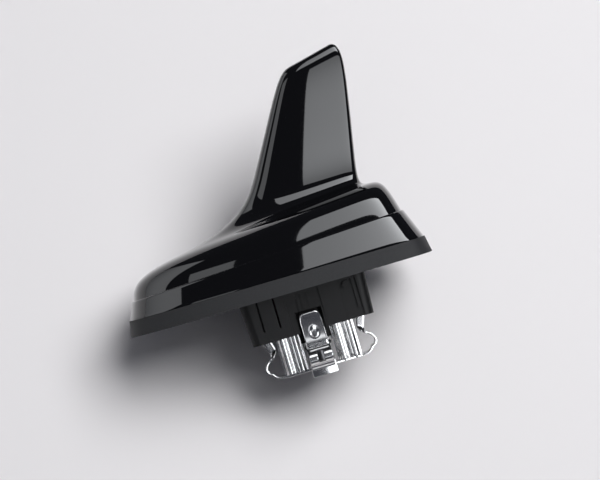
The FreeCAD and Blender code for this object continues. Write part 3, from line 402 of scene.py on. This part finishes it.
def clip_leg(name, reach):
    """A leg to the rear: a strip bent along its profile, with edges turned in, a boss and a slot."""
    columns, rows = LEG_GRID
    points = [Vector((reach - ARM_LENGTH, 0.0, HUB_TOP))]
    for short, above in LEG_PROFILE:
        points.append(Vector((reach - short, 0.0, CLIP_FOOT + above * CLIP_RISE)))

    def place(row, column):
        share = row / rows
        middle, along = through(points, share)
        out = Vector((along.z, 0.0, -along.x))
        bent = ease(middle.z, *BEND_SPAN) * (share > HALFWAY)
        tip = max(share - TIP_START, 0.0) / (1.0 - TIP_START)
        flat = LEG_HALF - TIP_ROUND * (1 - math.sqrt(1 - tip * tip)) - LEG_BEND
        edge = LEG_EDGE * bent * (1 - TIP_EDGE * tip)
        at = (column / columns * 2 - 1) * (flat + LEG_BEND + edge)
        side = math.copysign(1.0, at)
        past = max(abs(at) - flat, 0.0)
        end = max(math.pi / 2 * bent, LEAST_BEND)
        arc = min(past / LEG_BEND, 1.0) * end
        straight = max(past - LEG_BEND, 0.0)
        y = min(abs(at), flat) + LEG_BEND / end * math.sin(arc) + straight * math.cos(end)
        depth = LEG_BEND / end * (1 - math.cos(arc)) + straight * math.sin(end)
        rise = dimple(y, middle.z) if bent > HALFWAY else 0.0
        return middle + out * (CLIP_GAUGE - depth + rise) + Vector((0.0, side * y, 0.0))

    obj = laid_sheet(name, columns, rows, place)
    outward(obj, Vector((1.0, 0.0, 0.0)))
    cut_slot(obj, reach)
    thicken(obj, CLIP_GAUGE)
    return obj


def clip_wall(name):
    """The fluted upright wall beside the spigot's core, on the rear right."""
    columns, rows = WALL_GRID

    def place(row, column):
        share = column / columns
        x = WALL_SPAN[0] + (WALL_SPAN[1] - WALL_SPAN[0]) * share
        flute = 1 - ease(math.cos(2 * math.pi * FLUTES * share), -FLUTE_FLANK, FLUTE_FLANK)
        y = WALL_Y + CLIP_GAUGE + WALL_FLUTE * flute
        return Vector((x, y, HUB_LOW + (WALL_TOP - HUB_LOW) * row / rows))

    obj = laid_sheet(name, columns, rows, place)
    outward(obj, Vector((0.0, 1.0, 0.0)))
    thicken(obj, CLIP_GAUGE)
    return obj


def clip_flat(name, low, high, rounding):
    """A flat of the clip between two corners, with rounded edges."""
    low, high = Vector(low) * MM, Vector(high) * MM
    bpy.ops.object.select_all(action="DESELECT")
    bpy.ops.mesh.primitive_cube_add(size=1.0, location=(low + high) / 2, scale=high - low)
    obj = bpy.context.object
    obj.name = name
    bpy.ops.object.transform_apply(location=True, rotation=True, scale=True)
    soft = obj.modifiers.new("edges", "BEVEL")
    soft.width = rounding * MM
    soft.segments = FLAT_SEGMENTS
    bpy.ops.object.modifier_apply(modifier=soft.name)
    return obj


def turned_copy(source, name, degrees):
    """A copy with its own mesh, turned about the bolt's axis."""
    bpy.ops.object.select_all(action="DESELECT")
    source.select_set(True)
    bpy.context.view_layer.objects.active = source
    bpy.ops.object.duplicate(linked=False)
    obj = bpy.context.object
    obj.name = name
    obj.data.transform(Matrix.Rotation(math.radians(degrees), 4, "Z"))
    return obj


def mirrored_copy(source, name):
    """A copy with its own mesh, mirrored from the rear to the front."""
    obj = turned_copy(source, name, 0.0)
    obj.data.transform(Matrix.Scale(-1.0, 4, Vector((1.0, 0.0, 0.0))))
    obj.data.flip_normals()
    return obj


def drill(obj, radius):
    """Cuts the bolt's hole through the hub."""
    bpy.ops.object.select_all(action="DESELECT")
    bpy.ops.mesh.primitive_cylinder_add(
        vertices=HOLE_SIDES,
        radius=radius * MM,
        depth=DRILL_DEPTH * MM,
        location=(0.0, 0.0, HUB_LOW * MM),
    )
    cutter = bpy.context.object
    hole = obj.modifiers.new("bolt_hole", "BOOLEAN")
    hole.object = cutter
    hole.operation = "DIFFERENCE"
    bpy.context.view_layer.objects.active = obj
    bpy.ops.object.modifier_apply(modifier=hole.name)
    bpy.data.objects.remove(cutter)


def make_clip():
    """The spring clip as one pressing: hub, four legs, fluted walls and the side legs' foot plates."""
    leg_rear = clip_leg("leg_rear", REACH_X)
    leg_side = clip_leg("leg_side", REACH_Y)
    leg_right = turned_copy(leg_side, "leg_right", 90)
    wall = clip_wall("wall_rear_right")
    wall_front = mirrored_copy(wall, "wall_front_right")
    hub = clip_flat("hub", (-HUB_X, -HUB_Y, HUB_LOW), (HUB_X, HUB_Y, HUB_TOP), HUB_ROUNDING)
    drill(hub, BOLT_HOLE)
    plate_y = REACH_Y - LEG_PROFILE[0][0] + CLIP_GAUGE / 2
    plate_low = (-PLATE_HALF, plate_y, PLATE_SPAN[0])
    plate_high = (PLATE_HALF, plate_y + CLIP_GAUGE, PLATE_SPAN[1])
    plate = clip_flat("foot_plate_right", plate_low, plate_high, PLATE_ROUNDING)
    pieces = [leg_rear, leg_right, wall, wall_front, hub, plate]
    for piece in (leg_rear, leg_right, wall, wall_front, plate):
        pieces.append(turned_copy(piece, piece.name + "_opposite", 180))
    bpy.data.objects.remove(leg_side)
    bpy.ops.object.select_all(action="DESELECT")
    for piece in pieces:
        piece.select_set(True)
    bpy.context.view_layer.objects.active = leg_rear
    bpy.ops.object.join()
    clip = bpy.context.object
    clip.name = "pressed_clip"
    bpy.ops.object.shade_smooth_by_angle(angle=CLIP_CREASE)
    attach(clip, "root")
    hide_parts("spring_clip")
    return clip


cover = make_cover()
skirt = make_skirt()
clip = make_clip()

# Materials: detail of the fine grain, size and detail of its slow patches, and the grain's tinted band
GRAIN_DETAIL = 3.0
PATCH_SCALE, PATCH_DETAIL = 45.0, 2.0
TINT_LOW, TINT_HIGH = 0.3, 0.7
COAT_ROUGHNESS = 0.03


def grain_group():
    """Shared grain: fine noise with slow patches, as masks and as a bumped normal."""
    group = bpy.data.node_groups.new("surface_grain", "ShaderNodeTree")
    for name in ("Scale", "Bump", "Depth"):
        group.interface.new_socket(name, in_out="INPUT", socket_type="NodeSocketFloat")
    group.interface.new_socket("Mask", in_out="OUTPUT", socket_type="NodeSocketFloat")
    group.interface.new_socket("Patches", in_out="OUTPUT", socket_type="NodeSocketFloat")
    group.interface.new_socket("Normal", in_out="OUTPUT", socket_type="NodeSocketVector")
    nodes, links = group.nodes, group.links
    inlet = nodes.new("NodeGroupInput")
    outlet = nodes.new("NodeGroupOutput")
    coords = nodes.new("ShaderNodeTexCoord")
    fine = nodes.new("ShaderNodeTexNoise")
    fine.inputs["Detail"].default_value = GRAIN_DETAIL
    slow = nodes.new("ShaderNodeTexNoise")
    slow.inputs["Scale"].default_value = PATCH_SCALE
    slow.inputs["Detail"].default_value = PATCH_DETAIL
    bump = nodes.new("ShaderNodeBump")
    links.new(coords.outputs["Object"], fine.inputs["Vector"])
    links.new(coords.outputs["Object"], slow.inputs["Vector"])
    links.new(inlet.outputs["Scale"], fine.inputs["Scale"])
    links.new(inlet.outputs["Bump"], bump.inputs["Strength"])
    links.new(inlet.outputs["Depth"], bump.inputs["Distance"])
    links.new(fine.outputs["Fac"], bump.inputs["Height"])
    links.new(fine.outputs["Fac"], outlet.inputs["Mask"])
    links.new(slow.outputs["Fac"], outlet.inputs["Patches"])
    links.new(bump.outputs["Normal"], outlet.inputs["Normal"])
    return group


GRAIN = grain_group()


def grained(
    name, colour, roughness, metallic=0.0, spread=0.05, tint=0.1,
    scale=400.0, bump=0.1, depth=0.0001, coat=0.0, specular=0.5,
):
    """A material with grain: roughness varies by a spread and colour by a tint, around those named."""
    material = bpy.data.materials.new(name)
    material.use_nodes = True
    nodes, links = material.node_tree.nodes, material.node_tree.links
    shader = nodes["Principled BSDF"]
    shader.inputs["Metallic"].default_value = metallic
    shader.inputs["Specular IOR Level"].default_value = specular
    shader.inputs["Coat Weight"].default_value = coat
    shader.inputs["Coat Roughness"].default_value = COAT_ROUGHNESS
    grain = nodes.new("ShaderNodeGroup")
    grain.node_tree = GRAIN
    grain.inputs["Scale"].default_value = scale
    grain.inputs["Bump"].default_value = bump
    grain.inputs["Depth"].default_value = depth
    rough = nodes.new("ShaderNodeMapRange")
    rough.inputs["To Min"].default_value = max(roughness - spread, 0.0)
    rough.inputs["To Max"].default_value = roughness + spread
    links.new(grain.outputs["Patches"], rough.inputs["Value"])
    links.new(rough.outputs["Result"], shader.inputs["Roughness"])
    ramp = nodes.new("ShaderNodeValToRGB")
    low, high = ramp.color_ramp.elements
    low.position, high.position = TINT_LOW, TINT_HIGH
    low.color = (*[c * (1 - tint) for c in colour], 1)
    high.color = (*[c * (1 + tint) for c in colour], 1)
    links.new(grain.outputs["Mask"], ramp.inputs["Fac"])
    links.new(ramp.outputs["Color"], shader.inputs["Base Color"])
    links.new(grain.outputs["Normal"], shader.inputs["Normal"])
    return material


def wear(obj, material):
    """Gives a piece one material all over."""
    obj.data.materials.clear()
    obj.data.materials.append(material)


gloss_black = grained(
    "gloss_black", (0.002, 0.002, 0.0024), 0.03,
    spread=0.015, scale=900.0, bump=0.01, depth=0.00002, coat=0.6,
)
gasket_rubber = grained(
    "gasket_rubber", (0.016, 0.0163, 0.0178), 0.62,
    spread=0.08, scale=1800.0, bump=0.25, depth=0.00008, specular=0.35,
)
black_plastic = grained(
    "black_plastic", (0.0045, 0.0045, 0.005), 0.48,
    spread=0.06, scale=2400.0, bump=0.2, depth=0.00005, specular=0.25,
)
spring_steel = grained(
    "spring_steel", (0.70, 0.70, 0.70), 0.17,
    metallic=1.0, spread=0.08, tint=0.06, scale=700.0, bump=0.12, depth=0.00006,
)
screw_steel = grained("screw_steel", (0.55, 0.55, 0.56), 0.3, metallic=1.0, spread=0.07)
bolt_steel = grained("bolt_steel", (0.10, 0.10, 0.105), 0.36, metallic=1.0, spread=0.08, tint=0.15)
die_cast = grained("die_cast", (0.42, 0.42, 0.43), 0.5, metallic=0.9, spread=0.08, bump=0.3)
tin_plate = grained("tin_plate", (0.66, 0.66, 0.65), 0.28, metallic=1.0)
contact_brass = grained("contact_brass", (0.72, 0.5, 0.2), 0.25, metallic=1.0)
circuit_board = grained("circuit_board", (0.02, 0.12, 0.05), 0.35)
patch_ceramic = grained("patch_ceramic", (0.6, 0.53, 0.43), 0.55)
socket_plastic = grained("socket_plastic", (0.05, 0.012, 0.03), 0.45)
seal_rubber = grained("seal_rubber", (0.025, 0.025, 0.025), 0.7)

wear(cover, gloss_black)
wear(skirt, gloss_black)
wear(clip, spring_steel)
BY_NODE = {
    "roof_gasket": gasket_rubber,
    "base_plate": die_cast,
    "cover_seal": seal_rubber,
    "main_board": circuit_board,
    "patch_antenna": patch_ceramic,
    "patch_pin": contact_brass,
    "shield_can": tin_plate,
    "fin_radiator": circuit_board,
    "foam_pad": seal_rubber,
    "cover_screws": screw_steel,
    "board_screws": screw_steel,
    "spigot_screws": screw_steel,
    "roof_spigot": black_plastic,
    "clip_bolt": bolt_steel,
    "threaded_insert": contact_brass,
    "phone_socket": socket_plastic,
    "phone_socket_shell": tin_plate,
    "phone_socket_pin": contact_brass,
    "navigation_socket": socket_plastic,
    "navigation_socket_shell": tin_plate,
    "navigation_socket_pin": contact_brass,
}
for node, material in BY_NODE.items():
    wear(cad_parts[node], material)

# Camera: level view of the left side, rolled so that the base rises to the right
ROLL = math.radians(16.34)
TARGET = Vector((3.75, 0.0, 14.4)) * MM
DISTANCE = 0.6
LENS, SENSOR, NEAR_LIMIT = 115.0, 36.0, 0.01
RIGHT = Vector((math.cos(ROLL), 0.0, -math.sin(ROLL)))
UP = Vector((math.sin(ROLL), 0.0, math.cos(ROLL)))
BACK = Vector((0.0, -1.0, 0.0))


def seen(right, up, back):
    """A point given from the picture's middle: to its right, up, and towards the camera, in metres."""
    return TARGET + RIGHT * right + UP * up + BACK * back


def make_camera():
    """A long lens, square to the fin's plane."""
    data = bpy.data.cameras.new("camera")
    data.lens = LENS
    data.sensor_width = SENSOR
    data.clip_start = NEAR_LIMIT
    data.dof.use_dof = False
    camera = bpy.data.objects.new("camera", data)
    bpy.context.scene.collection.objects.link(camera)
    turn = Matrix((RIGHT, UP, BACK)).transposed().to_4x4()
    camera.matrix_world = Matrix.Translation(seen(0.0, 0.0, DISTANCE)) @ turn
    return camera


bpy.context.scene.camera = make_camera()

# Table: the antenna lies on its right side, seen from above, so the table stands behind it
TABLE_GAP = 0.0375
TABLE_SIZE = 1.2
TABLE_FACING = Vector((0.20, -1.0, 0.34))
TABLE_COLOUR = (0.80, 0.785, 0.80, 1)


def table_material():
    """Pale paper that is clear from behind."""
    material = bpy.data.materials.new("table_paper")
    material.use_nodes = True
    nodes, links = material.node_tree.nodes, material.node_tree.links
    shader = nodes["Principled BSDF"]
    shader.inputs["Base Color"].default_value = TABLE_COLOUR
    shader.inputs["Roughness"].default_value = 0.8
    shader.inputs["Specular IOR Level"].default_value = 0.1
    clear = nodes.new("ShaderNodeBsdfTransparent")
    side = nodes.new("ShaderNodeNewGeometry")
    mix = nodes.new("ShaderNodeMixShader")
    links.new(side.outputs["Backfacing"], mix.inputs["Fac"])
    links.new(shader.outputs["BSDF"], mix.inputs[1])
    links.new(clear.outputs["BSDF"], mix.inputs[2])
    links.new(mix.outputs["Shader"], nodes["Material Output"].inputs["Surface"])
    return material


def make_table():
    """The table's top, tilted from the picture's plane."""
    bpy.ops.object.select_all(action="DESELECT")
    bpy.ops.mesh.primitive_plane_add(size=TABLE_SIZE)
    table = bpy.context.object
    table.name = "table"
    table.location = seen(0.0, 0.0, -TABLE_GAP)
    table.rotation_euler = TABLE_FACING.to_track_quat("Z", "Y").to_euler()
    wear(table, table_material())


make_table()

# Lights: lamps light the surfaces, and sheen panels are only mirrored in the glossy ones. Sizes in metres
PANEL_BACK = 0.9
SHEEN_FLOOR = 0.3
WHITE = (1.0, 1.0, 1.0)
SHEEN_TONE = (0.95, 0.97, 1.0)
ROOM_COLOUR = (0.043, 0.045, 0.056, 1)
BACKDROP_COLOUR = (0.72, 0.71, 0.72, 1)


def softbox(name, centre, aim, width, height, watts, tone):
    """A rectangular studio light at a point, facing another."""
    data = bpy.data.lights.new(name, "AREA")
    data.shape = "RECTANGLE"
    data.size, data.size_y = width, height
    data.energy = watts
    data.color = tone
    light = bpy.data.objects.new(name, data)
    bpy.context.scene.collection.objects.link(light)
    light.location = centre
    light.rotation_euler = (aim - centre).to_track_quat("-Z", "Y").to_euler()
    return light


def lamp(name, centre, width, height, watts):
    """A softbox that lights the part and isn't mirrored in it."""
    light = softbox(name, centre, TARGET, width, height, watts, WHITE)
    light.visible_glossy = False


def fade_out(light, fade, along):
    """Dims a panel to its floor over a share of it, towards its left (X) or low (Y) edge."""
    light.data.use_nodes = True
    nodes, links = light.data.node_tree.nodes, light.data.node_tree.links
    place = nodes.new("ShaderNodeNewGeometry")
    split = nodes.new("ShaderNodeSeparateXYZ")
    ramp = nodes.new("ShaderNodeMapRange")
    ramp.interpolation_type = "SMOOTHSTEP"
    edge = {"X": 0.0, "Y": 1.0}[along]
    ramp.inputs["From Min"].default_value = edge
    ramp.inputs["From Max"].default_value = abs(edge - fade)
    ramp.inputs["To Min"].default_value = SHEEN_FLOOR
    links.new(place.outputs["Parametric"], split.inputs["Vector"])
    links.new(split.outputs[along], ramp.inputs["Value"])
    links.new(ramp.outputs["Result"], nodes["Emission"].inputs["Strength"])


def sheen(name, centre, width, height, watts, aim=TARGET):
    """A panel only seen mirrored in glossy surfaces."""
    light = softbox(name, centre, aim, width, height, watts, SHEEN_TONE)
    light.visible_diffuse = False
    return light


def facing(name, left, low, width, height, watts):
    """A sheen panel square to the fin's plane, placed by its left and low edges from the target."""
    centre = TARGET + Vector((left + width / 2, -PANEL_BACK, low + height / 2))
    return sheen(name, centre, width, height, watts, aim=centre - BACK)


lamp("top_light", seen(0.50, 0.70, 1.00), width=0.9, height=0.8, watts=19.2)
lamp("fill_light", seen(0.0, 0.1, 1.2), width=1.2, height=1.0, watts=1.2)
fin_panel = facing("fin_panel", left=0.07, low=-0.35, width=0.9, height=0.80, watts=12.0)
fade_out(fin_panel, fade=1.0, along="Y")
flank_panel = facing("flank_panel", left=-0.10, low=0.70, width=1.1, height=0.90, watts=23.0)
fade_out(flank_panel, fade=0.9, along="X")
sheen("left_strip", seen(-0.44, 0.16, 0.70), width=0.2, height=0.6, watts=0.4)
nose_panel = sheen("nose_panel", seen(-0.75, 0.25, 0.10), width=0.7, height=0.9, watts=2.4)
fade_out(nose_panel, fade=0.9, along="X")
sheen("low_card", seen(0.05, -0.45, 0.60), width=0.8, height=0.12, watts=0.35)
sheen("low_left_card", seen(-0.45, -0.60, 0.25), width=0.3, height=0.3, watts=1.2)
sheen("low_right_card", seen(0.60, -0.50, 0.25), width=0.25, height=0.3, watts=0.5)


def make_surround():
    """A dim room for the reflections, with a pale backdrop where the picture looks past the table."""
    world = bpy.data.worlds.new("surround")
    world.use_nodes = True
    nodes, links = world.node_tree.nodes, world.node_tree.links
    room = nodes["Background"]
    room.inputs["Color"].default_value = ROOM_COLOUR
    backdrop = nodes.new("ShaderNodeBackground")
    backdrop.inputs["Color"].default_value = BACKDROP_COLOUR
    path = nodes.new("ShaderNodeLightPath")
    mix = nodes.new("ShaderNodeMixShader")
    links.new(path.outputs["Is Camera Ray"], mix.inputs["Fac"])
    links.new(room.outputs["Background"], mix.inputs[1])
    links.new(backdrop.outputs["Background"], mix.inputs[2])
    links.new(mix.outputs["Shader"], nodes["World Output"].inputs["Surface"])
    return world


bpy.context.scene.world = make_surround()
bpy.context.scene.view_settings.view_transform = "Standard"
